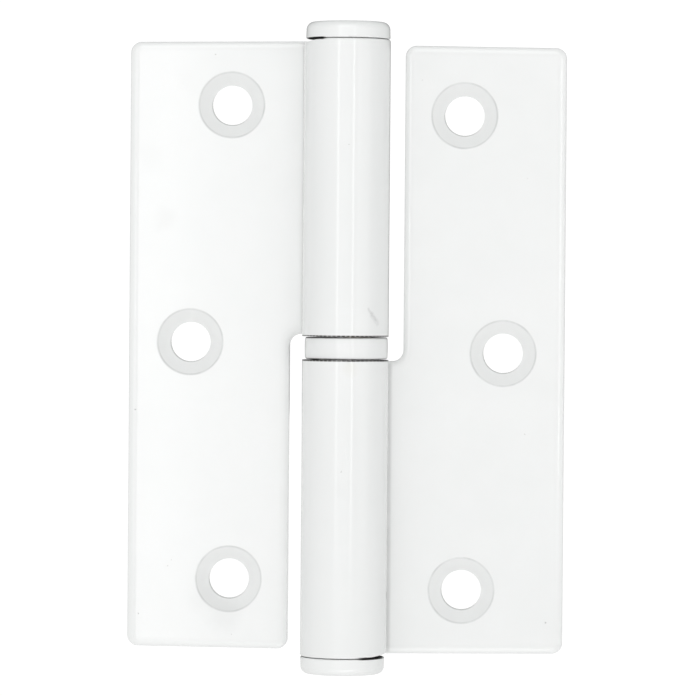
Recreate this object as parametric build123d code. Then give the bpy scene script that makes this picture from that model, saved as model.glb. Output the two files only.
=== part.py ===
from build123d import *
import os
from math import sqrt, sin, cos, radians, degrees, atan2

# Lift-off butt hinge, opened flat. Millimetres.
# Z runs up along the pin axis, X to the right leaf, -Y to the countersunk
# front. The origin is on the pin axis, half way up the thrust ring.

# ---- driving dimensions -------------------------------------------------
SHEET = 2.5             # leaf sheet thickness
BARREL_R = 7.05         # outside radius of each rolled knuckle
LEAF_REACH = 35.85      # pin axis to the leaf's outer edge
LEAF_TOP = 50.35        # upper leaf: top edge, level with its knuckle's end
LEAF_BOTTOM = -49.7     # upper leaf: bottom edge
LEAF_TAPER = 0.3        # how far each end draws in towards the leaf's outer edge
NOTCH_X = 9.38          # pin axis to the edge that clears the other knuckle
KNUCKLE_END = 1.92      # inner end of the knuckle above the ring's middle
NOTCH_Z = 2.2           # the notch's edge stands back this far, a little past the knuckle's end
CORNER_R = 1.8          # plan radius of the leaf's corners
NOTCH_R = 1.9           # plan radius inside the notch
EDGE_ROLL = (           # the front edge rolls over: distance from the cut side, and slope there
    (1.50, 0.0),
    (0.75, 12.0),
    (0.25, 33.0),
    (0.0, 90.0),
)
BACK_ROUND = 0.3        # back edge
END_ROUND = 0.35        # edge round at the knuckle's ends
VALLEY_R = 0.35         # coating fillet where the roll's end meets the leaf

HOLE_R = 3.25           # clearance for a 5 mm countersunk screw
CSK_R = 5.4             # countersink radius at the front face, 90 degrees
CSK_ROUND = 0.35        # softened rim of each countersink
END_HOLE_X = 19.15      # pin axis to the two end holes
MID_HOLE_X = 25.75      # pin axis to the middle hole
HOLE_MID_Z = 0.76       # height of the middle hole on the upper leaf
HOLE_PITCH = 39.0       # middle hole to each end hole, along Z

RELIEF_X = 3.0          # where the blank's corner starts to fall away
RELIEF_DEPTH = 0.62     # how far it has fallen at the roll's side

PIN_R = 4.50            # pin in the upper knuckle and the ring
PIN_PRESS_R = 4.55      # pin in the lower knuckle, size for size
PIN_TOP = 42.0
PIN_BOTTOM = -46.6
PIN_NOSE = 1.6          # lead-in at the pin's top

RING_R = 6.78
RING_BORE_R = 4.70      # loose on the pin
RING_SHIFT = 0.15       # the loose ring lies over to one side by this much
RING_HALF = 1.77        # half the ring's height
RING_ROUND = 0.32
RING_BULGE = 0.05       # the ring's side is very slightly crowned

CAP_R = 6.88            # cap at its base
CAP_TAPER = 0.08        # draft of the cap's side
CAP_H = 2.90            # height of the cap's head at its side
CAP_DOME = 0.22         # crown of the cap's face
CAP_ROUND = 1.25        # corner round of the cap's head
CAP_GAP = 0.10          # joint line between cap and knuckle
CAP_SHANK_R = 4.43      # shank, touching the bore on the free side
CAP_SHANK = 3.4         # shank length inside the knuckle
CAP_SHIFT = 0.12        # the cap sits this much off the pin axis, away from the leaf

BORE_R = BARREL_R - SHEET
FRONT_Y = BORE_R        # the leaf's front face, level with the bore's back
BACK_Y = BARREL_R       # the leaf's back face, tangent to the knuckle's back


def edge_profile(at, outward):
    """What the soft front edge removes, in the plane of outward and -Y:
    arcs that leave the face, tangent to each other and ever tighter, down to the cut side."""
    start = (-EDGE_ROLL[0][0], 0.0)
    arcs = []
    x, y = start
    for (d0, a0), (d1, a1) in zip(EDGE_ROLL, EDGE_ROLL[1:]):
        a0, a1 = radians(a0), radians(a1)
        am = (a0 + a1) / 2
        r = (d0 - d1) / (sin(a1) - sin(a0))
        middle = (x + r * (sin(am) - sin(a0)), y - r * (cos(a0) - cos(am)))
        end = (x + r * (sin(a1) - sin(a0)), y - r * (cos(a0) - cos(a1)))
        arcs.append(((x, y), middle, end))
        x, y = end
    front = Vector(0, -1, 0)
    with BuildSketch(Plane(origin=at, x_dir=outward, z_dir=outward.cross(front))) as s:
        with BuildLine():
            for arc in arcs:
                ThreePointArc(*arc)
            Polyline((x, y), (0.3, y), (0.3, 0.3), (start[0], 0.3), start)
        make_face()
    return s.sketch


def leaf_plate():
    """Flat of the upper leaf: outline in X-Z, thickness along Y."""
    outline = [
        (-LEAF_REACH, LEAF_BOTTOM + LEAF_TAPER),
        (-NOTCH_X, LEAF_BOTTOM),
        (-NOTCH_X, NOTCH_Z),
        (0, NOTCH_Z),
        (0, LEAF_TOP),
        (-LEAF_REACH, LEAF_TOP - LEAF_TAPER),
    ]
    with BuildPart() as p:
        # drawn on the back face: local x is X, local y is Z, thickness towards -Y
        with BuildSketch(Plane(origin=(0, BACK_Y, 0), x_dir=(1, 0, 0), z_dir=(0, -1, 0))) as s:
            with BuildLine():
                Polyline(*outline, close=True)
            make_face()
            fillet([v for v in s.vertices()
                    if abs(v.X + LEAF_REACH) < 0.01 or
                    abs(v.X + NOTCH_X) < 0.01 and abs(v.Y - LEAF_BOTTOM) < 0.01], CORNER_R)
            fillet([v for v in s.vertices()
                    if abs(v.X + NOTCH_X) < 0.01 and abs(v.Y - NOTCH_Z) < 0.01], NOTCH_R)
        extrude(amount=SHEET)
    plate = p.part
    back = plate.faces().sort_by(Axis.Y)[-1]
    plate = fillet([e for e in back.edges() if e.center().X < -0.01], BACK_ROUND)
    front = plate.faces().sort_by(Axis.Y)[0]
    for e in [e for e in front.edges() if e.center().X < -0.01]:
        along, outward = e % 0, (e % 0).cross(Vector(0, -1, 0))
        middle = e @ 0.5 + (e % 0.5).cross(Vector(0, -1, 0)) * 0.05 + Vector(0, 0.1, 0)
        if plate.is_inside(middle):
            outward = outward * -1
        face = edge_profile(e @ 0, outward)
        if e.geom_type == GeomType.LINE:
            cut = extrude(face, amount=e.length, dir=along)
        else:
            axis = Axis(e.arc_center, (e @ 0 - e.arc_center).cross(along))
            cut = revolve(face, axis=axis, revolution_arc=degrees(e.length / e.radius))
        plate = plate - cut
    return plate


def roll():
    """Knuckle rolled from the sheet: a turned section, closed but for the
    wedge between the roll's square end and the leaf's front face."""
    end_angle = degrees(atan2(FRONT_Y, -sqrt(BARREL_R**2 - FRONT_Y**2)))
    sweep = 360.0 - (end_angle - 90.0)
    with BuildPart() as p:
        # section in the Y-Z plane at the leaf's root, turned towards +X
        with BuildSketch(Plane(origin=(0, 0, 0), x_dir=(0, 1, 0), z_dir=(1, 0, 0))) as s:
            with Locations(((BORE_R + BARREL_R) / 2, (KNUCKLE_END + LEAF_TOP) / 2)):
                Rectangle(SHEET, LEAF_TOP - KNUCKLE_END)
            outer = s.vertices().sort_by(Axis.Y)[-2:]
            fillet(outer, END_ROUND)
        revolve(axis=Axis((0, 0, 0), (0, 0, -1)), revolution_arc=sweep)
    return p.part


def valley():
    """Coating that bridges the roll's end and the leaf, with a concave front."""
    centre_y = FRONT_Y - VALLEY_R
    centre_x = -sqrt((BARREL_R + VALLEY_R)**2 - centre_y**2)
    k = BARREL_R / (BARREL_R + VALLEY_R)
    on_leaf = (centre_x, FRONT_Y)
    on_roll = (centre_x * k, centre_y * k)
    a0 = radians(90)
    a1 = atan2(on_roll[1] - centre_y, on_roll[0] - centre_x)
    am = (a0 + a1) / 2
    mid = (centre_x + VALLEY_R * cos(am), centre_y + VALLEY_R * sin(am))
    inside = (BORE_R + 0.75 * SHEET)
    c = radians(degrees(atan2(on_roll[1], on_roll[0])) - 2.0)
    corner = (inside * cos(c), inside * sin(c))
    throat = (-5.0, 4.12)
    root = (-4.95, FRONT_Y + 0.25)
    back = (on_leaf[0], FRONT_Y + 0.25)
    low = KNUCKLE_END + 0.45
    high = LEAF_TOP - 0.45
    with BuildPart() as p:
        with BuildSketch(Plane.XY.offset(low)):
            with BuildLine():
                ThreePointArc(on_leaf, mid, on_roll)
                Polyline(on_roll, corner, throat, root, back, on_leaf)
            make_face()
        extrude(amount=high - low)
    return p.part


def corner_relief():
    """Where the blank's rounded corner falls away beside the cap."""
    top = LEAF_TOP
    with BuildPart() as p:
        with BuildSketch(Plane(origin=(0, FRONT_Y - 0.15, 0), x_dir=(1, 0, 0), z_dir=(0, -1, 0))):
            with BuildLine():
                ThreePointArc(
                    (-RELIEF_X, top),
                    (-RELIEF_X - 2.4, top - 0.46 * RELIEF_DEPTH),
                    (-BARREL_R - 0.4, top - 1.15 * RELIEF_DEPTH),
                )
                Polyline(
                    (-BARREL_R - 0.4, top - 1.15 * RELIEF_DEPTH),
                    (-BARREL_R - 0.4, top + 0.6),
                    (-RELIEF_X, top + 0.6),
                    (-RELIEF_X, top),
                )
            make_face()
        extrude(amount=FRONT_Y + BARREL_R + 1.0)
    return p.part


def screw_hole(x, z):
    """Through hole and 90 degree countersink, opening to the front."""
    depth = CSK_R - HOLE_R
    over = 0.6
    with BuildPart() as p:
        with BuildSketch(Plane(origin=(x, 0, z), x_dir=(1, 0, 0), z_dir=(0, 0, 1))):
            with BuildLine():
                Polyline(
                    (0, BACK_Y + over),
                    (HOLE_R, BACK_Y + over),
                    (HOLE_R, FRONT_Y + depth),
                    (CSK_R + over, FRONT_Y - over),
                    (0, FRONT_Y - over),
                    close=True,
                )
            make_face()
        revolve(axis=Axis((x, 0, z), (0, 1, 0)))
    return p.part


def leaf():
    body = leaf_plate() + roll()
    body = body + valley()
    body = body - corner_relief()
    for x, z in (
        (-END_HOLE_X, HOLE_MID_Z + HOLE_PITCH),
        (-MID_HOLE_X, HOLE_MID_Z),
        (-END_HOLE_X, HOLE_MID_Z - HOLE_PITCH),
    ):
        body = body - screw_hole(x, z)
    rims = [e for e in body.edges().filter_by(GeomType.CIRCLE)
            if abs(e.radius - CSK_R) < 0.01 and abs(e.center().Y - FRONT_Y) < 0.01]
    body = fillet(rims, CSK_ROUND)
    return body


def pin():
    low_join = -KNUCKLE_END - 0.35
    with BuildPart() as p:
        with BuildSketch(Plane.XZ):
            with BuildLine():
                Polyline(
                    (0, PIN_BOTTOM),
                    (PIN_PRESS_R - 0.5, PIN_BOTTOM),
                    (PIN_PRESS_R, PIN_BOTTOM + 0.5),
                    (PIN_PRESS_R, low_join - 0.2),
                    (PIN_R, low_join),
                    (PIN_R, PIN_TOP - PIN_NOSE),
                )
                ThreePointArc(
                    (PIN_R, PIN_TOP - PIN_NOSE),
                    (PIN_R - 0.42, PIN_TOP - 0.55),
                    (PIN_R - 1.5, PIN_TOP),
                )
                Polyline((PIN_R - 1.5, PIN_TOP), (0, PIN_TOP), (0, PIN_BOTTOM))
            make_face()
        revolve(axis=Axis.Z)
    return p.part


def ring():
    with BuildPart() as p:
        with BuildSketch(Plane.XZ) as s:
            with BuildLine():
                Polyline((RING_R - RING_BULGE, -RING_HALF), (RING_BORE_R, -RING_HALF),
                         (RING_BORE_R, RING_HALF), (RING_R - RING_BULGE, RING_HALF))
                ThreePointArc((RING_R - RING_BULGE, RING_HALF), (RING_R, 0),
                              (RING_R - RING_BULGE, -RING_HALF))
            make_face()
            fillet([v for v in s.vertices() if v.X > RING_R - 1], RING_ROUND)
            fillet([v for v in s.vertices() if v.X < RING_BORE_R + 0.01], 0.15)
        revolve(axis=Axis.Z)
    return p.part


def cap():
    """Upper cap: a shallow crowned head on a short shank."""
    base = LEAF_TOP + CAP_GAP
    side = base + CAP_H
    side_r = CAP_R - CAP_TAPER
    with BuildPart() as p:
        with BuildSketch(Plane.XZ) as s:
            with BuildLine():
                Polyline(
                    (0, LEAF_TOP - CAP_SHANK),
                    (CAP_SHANK_R - 0.35, LEAF_TOP - CAP_SHANK),
                    (CAP_SHANK_R, LEAF_TOP - CAP_SHANK + 0.5),
                    (CAP_SHANK_R, base),
                    (CAP_R, base),
                    (side_r, side - CAP_DOME),
                )
                RadiusArc((side_r, side - CAP_DOME), (0, side), -(side_r**2 + CAP_DOME**2) / (2 * CAP_DOME))
                Line((0, side), (0, LEAF_TOP - CAP_SHANK))
            make_face()
            corner = [v for v in s.vertices() if abs(v.X - side_r) < 0.01]
            fillet(corner, CAP_ROUND)
            rim = [v for v in s.vertices() if abs(v.X - CAP_R) < 0.001]
            fillet(rim, 0.2)
        revolve(axis=Axis.Z)
    return p.part


# The upper leaf is drawn above; the lower leaf is the same stamping turned
# end for end about the front-to-back axis.
upper_leaf = leaf()
lower_leaf = leaf().rotate(Axis.Y, 180)
hinge_pin = pin()
thrust_ring = Pos(RING_SHIFT, 0, 0) * ring()
top_cap = Pos(CAP_SHIFT, 0, 0) * cap()
bottom_cap = (Pos(CAP_SHIFT, 0, 0) * cap()).rotate(Axis.Y, 180)

os.makedirs("parts", exist_ok=True)
for name, shape in (
    ("upper_leaf", upper_leaf),
    ("lower_leaf", lower_leaf),
    ("hinge_pin", hinge_pin),
    ("thrust_ring", thrust_ring),
    ("top_cap", top_cap),
    ("bottom_cap", bottom_cap),
):
    solid = shape.solids()
    if len(solid) != 1:
        raise ValueError(name + " has " + str(len(solid)) + " solids")
    solid[0].label = name
    export_step(solid[0], "parts/" + name + ".step")
    box = solid[0].bounding_box()
    print(name, round(solid[0].volume, 1), box.min, box.max)
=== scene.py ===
import math

import bpy
from mathutils import Matrix, Vector

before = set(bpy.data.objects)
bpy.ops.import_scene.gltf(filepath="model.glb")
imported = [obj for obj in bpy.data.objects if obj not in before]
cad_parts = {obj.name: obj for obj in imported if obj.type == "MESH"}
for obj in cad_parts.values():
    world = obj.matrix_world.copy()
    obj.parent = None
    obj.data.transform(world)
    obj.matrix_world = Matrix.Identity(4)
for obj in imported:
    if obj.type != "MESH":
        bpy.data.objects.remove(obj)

scene = bpy.context.scene
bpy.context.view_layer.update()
MM = 0.001


# ---- camera: the hinge seen square on, a little from the right and above ---
def make_camera():
    pitch, yaw, roll = (math.radians(a) for a in (0.89, -2.165, 0.443))
    target = Vector((0.439 * MM, 0.0, 0.012 * MM))
    turn = (Matrix.Rotation(pitch, 3, "X") @ Matrix.Rotation(yaw, 3, "Z")).transposed()
    x, y, z = (turn @ Vector(v) for v in ((1, 0, 0), (0, 1, 0), (0, 0, 1)))
    right = x * math.cos(roll) + z * math.sin(roll)
    up = z * math.cos(roll) - x * math.sin(roll)
    data = bpy.data.cameras.new("camera")
    data.sensor_width = 36.0
    data.lens = 4707.6 / 696 * 36.0
    data.clip_start, data.clip_end = 0.01, 60.0
    cam = bpy.data.objects.new("camera", data)
    m = Matrix((right, up, -y)).transposed().to_4x4()
    m.translation = target - y * 0.769336
    cam.matrix_world = m
    scene.collection.objects.link(cam)
    scene.camera = cam


# ---- node helpers ---------------------------------------------------------
def put(nt, kind, inputs=None, **props):
    n = nt.nodes.new(kind)
    for k, v in props.items():
        setattr(n, k, v)
    for k, v in (inputs or {}).items():
        if isinstance(v, bpy.types.NodeSocket):
            nt.links.new(v, n.inputs[k])
        else:
            n.inputs[k].default_value = v
    return n


class Shader:
    """A material whose detail is placed by the piece's own coordinates, in metres."""

    def __init__(self, name):
        self.mat = bpy.data.materials.new(name)
        self.mat.use_nodes = True
        self.nt = self.mat.node_tree
        self.nt.nodes.clear()
        self.at = put(self.nt, "ShaderNodeTexCoord").outputs["Object"]
        self.xyz = put(self.nt, "ShaderNodeSeparateXYZ", {"Vector": self.at})

    def math(self, op, a, b=0.0, clamp=False):
        return put(self.nt, "ShaderNodeMath", {0: a, 1: b}, operation=op, use_clamp=clamp).outputs[0]

    def vec(self, op, a, b):
        n = put(self.nt, "ShaderNodeVectorMath", {0: a, 1: b}, operation=op)
        return n.outputs["Value" if op in ("DISTANCE", "DOT_PRODUCT", "LENGTH") else "Vector"]

    def noise(self, scale, detail=2.0, rough=0.5, at=None, distortion=0.0):
        return put(self.nt, "ShaderNodeTexNoise",
                   {"Vector": at or self.at, "Scale": scale, "Detail": detail,
                    "Roughness": rough, "Distortion": distortion}).outputs["Fac"]

    def ramp(self, v, lo, hi, to_lo=0.0, to_hi=1.0, smooth=True):
        return put(self.nt, "ShaderNodeMapRange",
                   {"Value": v, "From Min": lo, "From Max": hi, "To Min": to_lo, "To Max": to_hi},
                   interpolation_type="SMOOTHSTEP" if smooth else "LINEAR", clamp=True).outputs[0]

    def mix(self, f, a, b, blend="MIX"):
        n = put(self.nt, "ShaderNodeMix", data_type="RGBA", blend_type=blend)
        for i, v in ((0, f), (6, a), (7, b)):
            if isinstance(v, bpy.types.NodeSocket):
                self.nt.links.new(v, n.inputs[i])
            else:
                n.inputs[i].default_value = v
        return n.outputs[2]

    def jitter(self, scale, amount):
        """The piece's coordinates, pushed about by noise, so that marks have ragged outlines."""
        n = put(self.nt, "ShaderNodeTexNoise", {"Vector": self.at, "Scale": scale, "Detail": 2.0})
        off = self.vec("SUBTRACT", n.outputs["Color"], (0.5, 0.5, 0.5))
        off = self.vec("MULTIPLY", off, (amount,) * 3)
        return self.vec("ADD", self.at, off)

    def spot(self, at, centre, inner, outer):
        """1 inside the inner radius of a centre in millimetres, 0 past the outer one."""
        d = self.vec("DISTANCE", at, tuple(c * MM for c in centre))
        return self.ramp(d, outer * MM, inner * MM)

    def streak(self, at, a, b, inner, outer):
        """The same about the line from a to b."""
        a, b = Vector(a) * MM, Vector(b) * MM
        line = b - a
        rel = self.vec("SUBTRACT", at, tuple(a))
        t = self.math("DIVIDE", self.vec("DOT_PRODUCT", rel, tuple(line)), line.length_squared, clamp=True)
        along = put(self.nt, "ShaderNodeVectorMath", {0: tuple(line), "Scale": t}, operation="SCALE").outputs["Vector"]
        d = self.vec("DISTANCE", rel, along)
        return self.ramp(d, outer * MM, inner * MM)

    def inside(self, colour, rough, full, none, part=None):
        """Dark oxide and old grease on what lies nearer the pin than a radius in millimetres.
        part, where it is given, says how much of it is left from place to place."""
        r = self.vec("LENGTH", put(self.nt, "ShaderNodeCombineXYZ", {
            "X": self.xyz.outputs["X"], "Y": self.xyz.outputs["Y"]}).outputs[0], (0, 0, 0))
        m = self.ramp(r, none * MM, full * MM)
        if part is not None:
            m = self.math("MULTIPLY", m, part)
        patch = self.ramp(self.noise(420.0, 3.0, 0.55), 0.42, 0.70)
        deep = self.ramp(r, 6.35 * MM, 5.9 * MM)
        bare = self.mix(patch, (0.014, 0.0135, 0.0125, 1.0), (0.045, 0.042, 0.037, 1.0))
        worn = self.mix(patch, (0.34, 0.335, 0.32, 1.0), (0.22, 0.21, 0.19, 1.0))
        bare = self.mix(self.math("MULTIPLY", deep, 0.85), bare, worn)
        rough = self.math("ADD", self.math("MULTIPLY", rough, self.math("SUBTRACT", 1.0, m)),
                          self.math("MULTIPLY", m, self.ramp(patch, 0.0, 1.0, 0.62, 0.85)))
        return self.mix(m, colour, bare), rough

    def bump(self, height, distance, normal=None):
        n = put(self.nt, "ShaderNodeBump", {"Height": height, "Strength": 1.0, "Distance": distance})
        if normal is not None:
            self.nt.links.new(normal, n.inputs["Normal"])
        return n.outputs["Normal"]

    def finish(self, **inputs):
        fixed = {k.replace("_", " "): v for k, v in inputs.items()}
        bsdf = put(self.nt, "ShaderNodeBsdfPrincipled", fixed)
        put(self.nt, "ShaderNodeOutputMaterial", {"Surface": bsdf.outputs[0]})
        return self.mat


def grey(v, r=1.0, g=1.0, b=1.0):
    return (v * r, v * g, v * b, 1.0)


# ---- materials ------------------------------------------------------------
def coat(name, specks, smudges_and_painted_shade, scuffs, stains, slit_shade, crease_shade, grime, holes):
    """Gloss white powder coat: faint orange peel, slow changes of tone and gloss,
    the few marks that the leaf carries, and painted shade in the crease, round the countersinks, in one
    slit and below the upper leaf's lowest countersink. The crease shade pair says how dark the painted
    crease shade is, and on which side of the pin the leaf is. grime gives the x in millimetres where the joint
    beside the cap is clean and where it is dark, and how dark the clean part is. holes gives the x and z of the
    countersinks."""
    s = Shader(name)
    broad = s.noise(55.0, 2.0, 0.5)
    middle = s.noise(260.0, 3.0, 0.55)
    fine = s.noise(1500.0, 2.0, 0.5)
    tone = s.math("ADD", s.math("MULTIPLY", broad, 0.6), s.math("MULTIPLY", middle, 0.4))
    colour = s.mix(s.ramp(tone, 0.32, 0.68), grey(0.859, 0.995, 1.003, 1.0), grey(0.873, 0.997, 1.002, 1.0))
    colour = s.mix(s.ramp(fine, 0.35, 0.65, 0.0, 0.35), colour, grey(0.862, 1.0, 1.002, 0.994))

    rough = s.ramp(middle, 0.3, 0.7, 0.100, 0.135)

    soft = s.jitter(300.0, 3.0 * MM)
    ragged = s.jitter(2600.0, 0.5 * MM)
    # smudges of dirt; on the upper leaf two of them are painted shade, a dark reflection below the lowest countersink
    for centre, inner, outer, depth in smudges_and_painted_shade:
        m = s.spot(soft, centre, inner, outer)
        colour = s.mix(s.math("MULTIPLY", m, depth), colour, grey(0.60))
        rough = s.math("ADD", rough, s.math("MULTIPLY", m, 0.10))
    for centre, size, value in specks:
        m = s.spot(ragged, centre, 0.35 * size, size)
        colour = s.mix(s.math("MULTIPLY", m, 0.6), colour, grey(value, 1.0, 0.98, 0.95))
    for a, b, width, value in scuffs:
        m = s.streak(ragged, a, b, 0.3 * width, width)
        grain = s.ramp(s.noise(5200.0, 2.0, 0.6), 0.30, 0.62, 0.35, 1.0)
        m = s.math("MULTIPLY", m, grain)
        colour = s.mix(s.math("MULTIPLY", m, 0.6), colour, grey(value))
        rough = s.math("ADD", rough, s.math("MULTIPLY", m, 0.3))
    for centre, inner, outer, depth, tint in stains:
        m = s.spot(soft, centre, inner, outer)
        colour = s.mix(s.math("MULTIPLY", m, depth), colour, tint)
    # a small slit in the coat, painted near black as the shade inside it
    for a, b, width in slit_shade:
        m = s.streak(s.at, a, b, 0.55 * width, width)
        colour = s.mix(s.math("MULTIPLY", m, 0.8), colour, grey(0.012))
        rough = s.math("ADD", rough, s.math("MULTIPLY", m, 0.5))

    # painted shade in the crease between the leaf's front and its knuckle, on the leaf's side only
    x, y = s.xyz.outputs["X"], s.xyz.outputs["Y"]
    crease_shade, side = crease_shade
    out = s.math("MULTIPLY", x, side)
    crease = s.math("MULTIPLY", s.ramp(out, 7.75 * MM, 7.1 * MM), s.ramp(out, 5.0 * MM, 5.6 * MM))
    front = s.math("MULTIPLY", s.ramp(y, 3.2 * MM, 4.4 * MM), s.ramp(y, 4.9 * MM, 4.7 * MM))
    crease = s.math("MULTIPLY", crease, front)
    colour = s.mix(s.math("MULTIPLY", crease, s.ramp(middle, 0.25, 0.75, 0.28 * crease_shade, 0.46 * crease_shade)), colour, grey(0.42, 1.0, 1.0, 0.98))
    # each countersink gets a thin line of painted shade at its rim, and painted shade on the low side of the hole's
    # edge
    flat = put(s.nt, "ShaderNodeCombineXYZ", {"X": x, "Z": s.xyz.outputs["Z"]}).outputs[0]
    for cx, cz in holes:
        rel = s.vec("SUBTRACT", flat, (cx * MM, 0.0, cz * MM))
        d = s.vec("LENGTH", rel, (0, 0, 0))
        rim_shade = s.math("MULTIPLY", s.ramp(d, 5.14 * MM, 5.34 * MM), s.ramp(d, 5.60 * MM, 5.42 * MM))
        rim_shade = s.math("MULTIPLY", rim_shade, s.ramp(y, 5.6 * MM, 5.2 * MM))
        colour = s.mix(s.math("MULTIPLY", rim_shade, s.ramp(middle, 0.3, 0.7, 0.20, 0.46)), colour, grey(0.45))
        low = s.ramp(s.vec("DOT_PRODUCT", rel, (-0.5, 0.0, -0.866)), 0.0, 2.9 * MM)
        lip_shade = s.math("MULTIPLY", s.ramp(d, 3.48 * MM, 3.32 * MM), s.ramp(y, 6.95 * MM, 6.75 * MM))
        colour = s.mix(s.math("MULTIPLY", lip_shade, s.math("MULTIPLY", low, 0.5)), colour, grey(0.25))
    # the rolled sheet's ends and bore, where the coat stops: dark oxide and grease, which
    # reaches a little way round the corner beside the ring
    z = s.math("ABSOLUTE", s.xyz.outputs["Z"])
    clean, dark, left = grime
    wedge = s.ramp(x, clean * MM, dark * MM)
    ends = s.math("MAXIMUM", s.ramp(wedge, 0.0, 1.0, left, 1.0), s.ramp(z, 49.0 * MM, 48.0 * MM))
    colour, rough = s.inside(colour, rough, 6.76, 6.92, ends)
    colour, rough = s.inside(colour, rough, 6.99, 7.04, s.math("MULTIPLY", wedge, s.ramp(z, 49.3 * MM, 49.5 * MM)))
    patchy = s.ramp(s.noise(140.0, 1.0, 0.5), 0.30, 0.48, 0.80, 1.0)
    colour, rough = s.inside(colour, rough, 7.04, 7.06, s.math("MULTIPLY", s.ramp(z, 2.16 * MM, 2.07 * MM), patchy))

    peel = s.noise(620.0, 1.5, 0.4)
    ripple = s.noise(190.0, 1.0, 0.4)
    normal = s.bump(ripple, 0.0000065)
    normal = s.bump(peel, 0.0000028, normal)
    normal = s.bump(fine, 0.0000007, normal)
    return s.finish(Base_Color=colour, Roughness=rough, IOR=1.52, Normal=normal)


def moulded(name, tone, under, edge, grime=None):
    """Gloss white moulded plastic: smoother than the coat, with faint flow and handling marks.
    Past the height under, in millimetres from the middle, it is grimed in as far as the edge."""
    s = Shader(name)
    broad = s.noise(120.0, 2.0, 0.5, distortion=1.0)
    fine = s.noise(1900.0, 2.0, 0.5)
    colour = s.mix(s.ramp(broad, 0.3, 0.7), grey(tone - 0.008, 0.996, 1.004, 1.0), grey(tone + 0.008, 0.998, 1.002, 1.0))
    rub = s.ramp(s.noise(900.0, 4.0, 0.65), 0.60, 0.74)
    colour = s.mix(s.math("MULTIPLY", rub, 0.10), colour, grey(0.70))
    rough = s.math("ADD", s.ramp(broad, 0.3, 0.7, 0.12, 0.16), s.math("MULTIPLY", rub, 0.12))
    z = s.math("ABSOLUTE", s.xyz.outputs["Z"])
    dirty, dull = s.inside(colour, rough, edge, edge + 0.22)
    hid = s.ramp(z, *(v * MM for v in under))
    if grime:
        clean, dark, left = grime
        wedge = s.ramp(s.xyz.outputs["X"], clean * MM, dark * MM)
        hid = s.math("MULTIPLY", hid, s.ramp(wedge, 0.0, 1.0, left, 1.0))
        dirty = s.mix(wedge, dirty, grey(0.03))
        hid = s.math("MAXIMUM", hid, s.math("MULTIPLY", wedge, s.ramp(z, 50.62 * MM, 50.56 * MM)))
    colour = s.mix(hid, colour, dirty)
    rough = s.math("ADD", s.math("MULTIPLY", rough, s.math("SUBTRACT", 1.0, hid)), s.math("MULTIPLY", dull, hid))
    normal = s.bump(s.noise(330.0, 1.5, 0.4), 0.000004)
    normal = s.bump(fine, 0.0000006, normal)
    return s.finish(Base_Color=colour, Roughness=rough, IOR=1.49, Normal=normal)


def ground_steel(name):
    """Centreless-ground pin: fine rings round the axis, under a patchy film of grease."""
    s = Shader(name)
    squeezed = s.vec("MULTIPLY", s.at, (120.0, 120.0, 9000.0))
    rings = s.noise(1.0, 3.0, 0.6, at=squeezed)
    coarse = s.noise(1.0, 2.0, 0.5, at=s.vec("MULTIPLY", s.at, (60.0, 60.0, 1400.0)))
    colour = s.mix(s.ramp(rings, 0.3, 0.7), grey(0.50, 1.0, 1.0, 1.01), grey(0.64, 1.0, 1.0, 1.01))
    film = s.ramp(s.noise(170.0, 3.0, 0.6), 0.42, 0.60)
    colour = s.mix(s.math("MULTIPLY", film, 0.45), colour, (0.42, 0.37, 0.28, 1.0))
    rough = s.math("ADD", s.ramp(coarse, 0.3, 0.7, 0.22, 0.32), s.math("MULTIPLY", film, -0.07))
    normal = s.bump(rings, 0.0000009)
    normal = s.bump(s.noise(420.0, 2.0, 0.5), 0.000002, normal)
    return s.finish(Base_Color=colour, Metallic=1.0, Roughness=rough, Normal=normal,
                    Coat_Weight=0.35, Coat_Roughness=0.12, Coat_IOR=1.45)


FACE = 4.55  # depth of the leaves' front face behind the pin axis, in millimetres

upper_coat = coat(
    "coat_upper",
    specks=[((-21.9, FACE, 48.03), 0.16, 0.45), ((-20.58, FACE, 47.38), 0.13, 0.5),
            ((-29.21, FACE, -36.14), 0.16, 0.45), ((-33.94, FACE, -44.1), 0.20, 0.35),
            ((-34.68, FACE, -10.47), 0.22, 0.30), ((-28.6, FACE, -35.2), 0.12, 0.5),
            ((-18.6, FACE, -47.3), 0.12, 0.5), ((0.6, -7.02, 33.1), 0.13, 0.5)],
    # the second and third smudges, below the lowest countersink, are painted shade: a dark reflection
    smudges_and_painted_shade=[((-29.95, FACE, 20.7), 0.4, 3.0, 0.10), ((-22.6, FACE, -41.0), 0.6, 4.6, 0.16),
             ((-19.7, FACE, -44.5), 0.5, 4.0, 0.21), ((-26.2, FACE, 44.0), 0.4, 3.2, 0.05),
             ((-32.5, FACE, 31.0), 0.4, 3.6, 0.05), ((-16.0, FACE, -30.0), 0.4, 5.0, 0.04)],
    scuffs=[((3.94, -5.85, 6.38), (5.10, -4.80, 4.60), 0.32, 0.56),
            ((4.50, -5.40, 5.50), (5.35, -4.55, 4.15), 0.62, 0.60)],
    stains=[((-12.5, FACE, 27.0), 0.5, 6.0, 0.02, grey(0.7, 1.0, 1.0, 0.97))],
    slit_shade=[],
    crease_shade=(1.05, -1.0),
    grime=(-2.9, -4.0, 0.30),
    holes=((-19.15, 39.76), (-25.75, 0.76), (-19.15, -38.24)),
)
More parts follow.
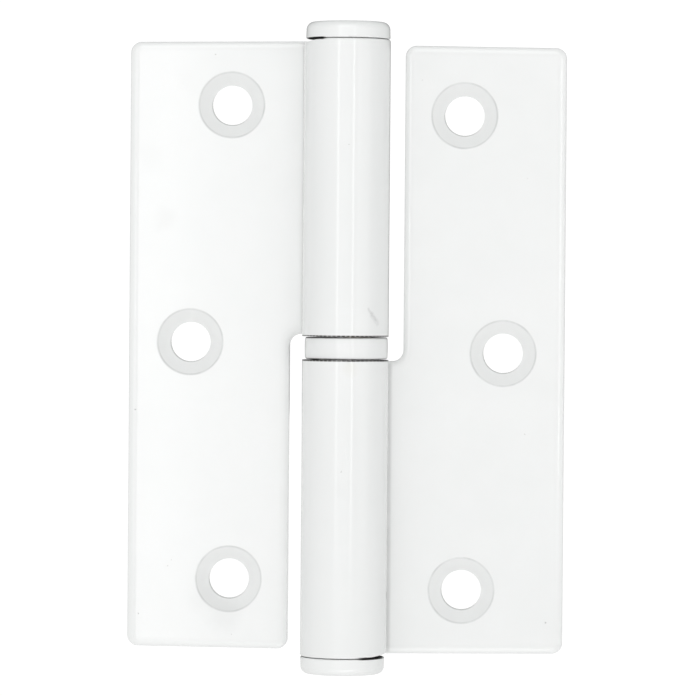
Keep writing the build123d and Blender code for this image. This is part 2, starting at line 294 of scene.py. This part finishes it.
lower_coat = coat(
    "coat_lower",
    specks=[((33.08, FACE, -44.88), 0.20, 0.35), ((29.5, FACE, 28.0), 0.14, 0.5),
            ((29.4, FACE, -14.0), 0.16, 0.5), ((-0.2, -7.05, -19.9), 0.18, 0.5),
            ((12.1, FACE, 44.0), 0.14, 0.5), ((24.7, FACE, 39.3), 0.10, 0.5)],
    smudges_and_painted_shade=[((0.16, -7.05, -22.97), 0.5, 2.6, 0.09), ((17.3, FACE, -9.8), 0.4, 2.4, 0.04),
             ((12.0, FACE, 25.0), 0.5, 4.5, 0.04)],
    scuffs=[],
    stains=[((0.98, -6.98, -3.2), 0.3, 2.0, 0.16, grey(0.74, 1.0, 0.97, 0.82))],
    slit_shade=[((7.03, -0.55, -39.9), (7.03, -0.55, -40.75), 0.30)],
    crease_shade=(0.86, 1.0),
    grime=(1.9, 3.6, 0.62),
    holes=((19.15, -39.76), (25.75, -0.76), (19.15, 38.24)),
)
top_cap_white = moulded("moulded_top_cap", 0.886, (50.56, 50.50), 6.35, (-2.9, -4.0, 0.30))
bottom_cap_white = moulded("moulded_bottom_cap", 0.876, (50.56, 50.50), 6.35, (1.9, 3.6, 0.62))
ring_white = moulded("moulded_ring", 0.860, (1.63, 1.71), 6.58)
steel = ground_steel("ground_steel")
for node, mat in (("upper_leaf", upper_coat), ("lower_leaf", lower_coat), ("hinge_pin", steel),
                  ("thrust_ring", ring_white), ("top_cap", top_cap_white), ("bottom_cap", bottom_cap_white)):
    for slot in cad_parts[node].material_slots:
        slot.material = mat


# ---- studio ---------------------------------------------------------------
def studio():
    """A white tent: bright in front, dimmer at the sides and dimmest straight behind,
    so that every outline keeps a thin darker edge. The camera itself sees plain white."""
    world = bpy.data.worlds.new("studio")
    scene.world = world
    world.use_nodes = True
    nt = world.node_tree
    nt.nodes.clear()
    at = put(nt, "ShaderNodeTexCoord").outputs["Generated"]
    xyz = put(nt, "ShaderNodeSeparateXYZ", {"Vector": at})
    x, y = xyz.outputs["X"], xyz.outputs["Y"]
    t = put(nt, "ShaderNodeMapRange", {"Value": y, "From Min": -1.0, "From Max": 1.0}).outputs[0]
    ramp = put(nt, "ShaderNodeValToRGB", {"Fac": t})
    ramp.color_ramp.interpolation = "LINEAR"
    stops = ((0.0, 1.02, 0.0), (0.06, 0.98, 0.0), (0.15, 0.80, 0.3), (0.3, 0.62, 0.8), (0.45, 0.63, 1.0),
             (0.6, 0.68, 1.0), (0.8, 0.62, 1.0), (0.9, 0.44, 1.0), (0.96, 0.16, 0.5), (1.0, 0.08, 0.0))
    for i, (pos, v, g) in enumerate(stops):
        e = ramp.color_ramp.elements[i] if i < 2 else ramp.color_ramp.elements.new(pos)
        v = v / 1.25
        e.position, e.color = pos, (v * (1 - 0.014 * g), v * (1.003 + 0.006 * g), v * 1.001, 1.0)
    # the left front and the right back are a little the brighter
    lean = put(nt, "ShaderNodeMath", {0: x, 1: y}, operation="MULTIPLY").outputs[0]
    lean = put(nt, "ShaderNodeMath", {0: lean, 1: 0.11 * 1.25, 2: 1.25}, operation="MULTIPLY_ADD").outputs[0]
    tent = put(nt, "ShaderNodeBackground", {"Color": ramp.outputs[0], "Strength": lean})
    plain = put(nt, "ShaderNodeBackground", {"Color": (1, 1, 1, 1), "Strength": 1.05})
    path = put(nt, "ShaderNodeLightPath")
    both = put(nt, "ShaderNodeMixShader", {0: path.outputs["Is Camera Ray"], 1: tent.outputs[0], 2: plain.outputs[0]})
    put(nt, "ShaderNodeOutputWorld", {"Surface": both.outputs[0]})


def floor():
    """A pale floor well below the hinge, lit up to plain white where the camera sees it."""
    h, z = 4.0, -0.13
    mesh = bpy.data.meshes.new("floor")
    mesh.from_pydata([(-h, -h, z), (h, -h, z), (h, h, z), (-h, h, z)], [], [(0, 1, 2, 3)])
    obj = bpy.data.objects.new("floor", mesh)
    scene.collection.objects.link(obj)
    mat = bpy.data.materials.new("floor")
    mat.use_nodes = True
    nt = mat.node_tree
    nt.nodes.clear()
    pale = put(nt, "ShaderNodeEmission", {"Color": (0.83, 0.835, 0.83, 1.0), "Strength": 1.0})
    lit = put(nt, "ShaderNodeEmission", {"Color": (1, 1, 1, 1), "Strength": 1.05})
    path = put(nt, "ShaderNodeLightPath")
    both = put(nt, "ShaderNodeMixShader", {0: path.outputs["Is Camera Ray"], 1: pale.outputs[0], 2: lit.outputs[0]})
    under = put(nt, "ShaderNodeBsdfTransparent")
    side = put(nt, "ShaderNodeNewGeometry").outputs["Backfacing"]
    surface = put(nt, "ShaderNodeMixShader", {0: side, 1: both.outputs[0], 2: under.outputs[0]})
    put(nt, "ShaderNodeOutputMaterial", {"Surface": surface.outputs[0]})
    mesh.materials.append(mat)


def softbox(name, target, azimuth, elevation, distance, width, height, radiance):
    """A flat light that faces the target. Azimuth 0 is straight in front, positive to the right."""
    a, e = math.radians(azimuth), math.radians(elevation)
    out = Vector((math.sin(a) * math.cos(e), -math.cos(a) * math.cos(e), math.sin(e)))
    data = bpy.data.lights.new(name, "AREA")
    data.shape, data.size, data.size_y = "RECTANGLE", width, height
    data.energy = radiance * 4.0 * width * height
    obj = bpy.data.objects.new(name, data)
    z = out
    x = Vector((0, 0, 1)).cross(z).normalized()
    y = z.cross(x)
    m = Matrix((x, y, z)).transposed().to_4x4()
    m.translation = Vector(target) + out * distance
    obj.matrix_world = m
    obj.visible_camera = False
    scene.collection.objects.link(obj)
    return obj


def card(name, x0, x1, z0, z1, radiance, fade=None, turn=0.0, spread=180.0, off=0.0):
    """A lit card standing close in front of the hinge, between two x and two z in millimetres, and
    seen only in the gloss. fade lists x and the part of the radiance that is left there. turn swings
    it about its upright middle line; with a spread under 180 it is as bright as stated when it is
    seen from the angle off, and fades to nothing at half the spread."""
    light = softbox(name, ((x0 + x1) / 2 * MM, 0.0045, (z0 + z1) / 2 * MM), 0.0, 0.0, 0.12,
                    (x1 - x0) * MM, (z1 - z0) * MM, 1.0)
    light.visible_diffuse = False
    place = light.matrix_world.translation.copy()
    light.matrix_world = (Matrix.Translation(place) @ Matrix.Rotation(math.radians(turn), 4, "Z")
                          @ Matrix.Translation(-place) @ light.matrix_world)
    if spread < 180.0:
        half = math.radians(spread / 2)
        light.data.spread = 2 * half
        radiance *= (math.tan(half) - half) / (math.tan(half) - math.tan(math.radians(off)))
    light.data.use_nodes = True
    nt = light.data.node_tree
    nt.nodes.clear()
    across = put(nt, "ShaderNodeSeparateXYZ", {"Vector": put(nt, "ShaderNodeNewGeometry").outputs["Parametric"]}).outputs["X"]
    glow = put(nt, "ShaderNodeEmission", {"Color": (1.0, 0.994, 1.0, 1.0), "Strength": radiance})
    if fade:
        ramp = put(nt, "ShaderNodeValToRGB", {"Fac": across})
        ramp.color_ramp.interpolation = "LINEAR"
        for i, (x, v) in enumerate(fade):
            pos = (x - x0) / (x1 - x0)
            e = ramp.color_ramp.elements[i] if i < 2 else ramp.color_ramp.elements.new(pos)
            e.position, e.color = pos, (v, v * 0.99, v, 1.0)
        nt.links.new(ramp.outputs[0], glow.inputs["Color"])
    put(nt, "ShaderNodeOutputLight", {"Surface": glow.outputs[0]})


make_camera()
studio()
floor()
key = softbox("key", (0, 0, 0), 0.0, 2.0, 0.80, 0.27, 0.27, 4.44)
back = softbox("back_fill", (0, 0, 0), 180.0, 2.0, 0.80, 0.27, 0.27, 5.6)
for lamp in (key, back):
    lamp.visible_glossy = False
for name, azimuth, elevation, width, height, radiance in (
        ("strip_right", 20.2, 0.0, 0.070, 1.1, 3.5), ("panel_inner", 14.0, 0.0, 0.28, 1.1, 0.10),
        ("strip_far", 35.4, 3.0, 0.055, 0.22, 2.4), ("panel_right", 53.0, 0.0, 0.69, 1.1, 0.40),
        ("strip_left", -20.5, 0.0, 0.145, 1.1, 1.35), ("strip_left_high", -20.0, 3.0, 0.090, 0.22, 0.85)):
    softbox(name, (0, 0, 0), azimuth, elevation, 1.5, width, height, radiance).visible_diffuse = False
card("card_left", -56.5, -12.0, -100.0, 104.0, 1.62,
     fade=((-56.5, 0.9), (-12.0, 0.10), (-40.0, 1.0), (-37.0, 0.88), (-35.0, 0.72), (-32.5, 0.57),
           (-28.0, 0.44), (-24.0, 0.39), (-20.0, 0.34), (-16.0, 0.28)),
     turn=20.0, spread=80.0, off=24.8)
card("card_top", -60.0, 60.0, 88.0, 190.0, 1.3)
for name, x, radiance in (("card_low_left", -0.026, 0.6), ("card_low_right", 0.026, 1.3)):
    softbox(name, (x, 0.0045, -0.050), 0.0, -37.0, 0.095, 0.052, 0.055, radiance).visible_diffuse = False

scene.view_settings.view_transform = "Standard"
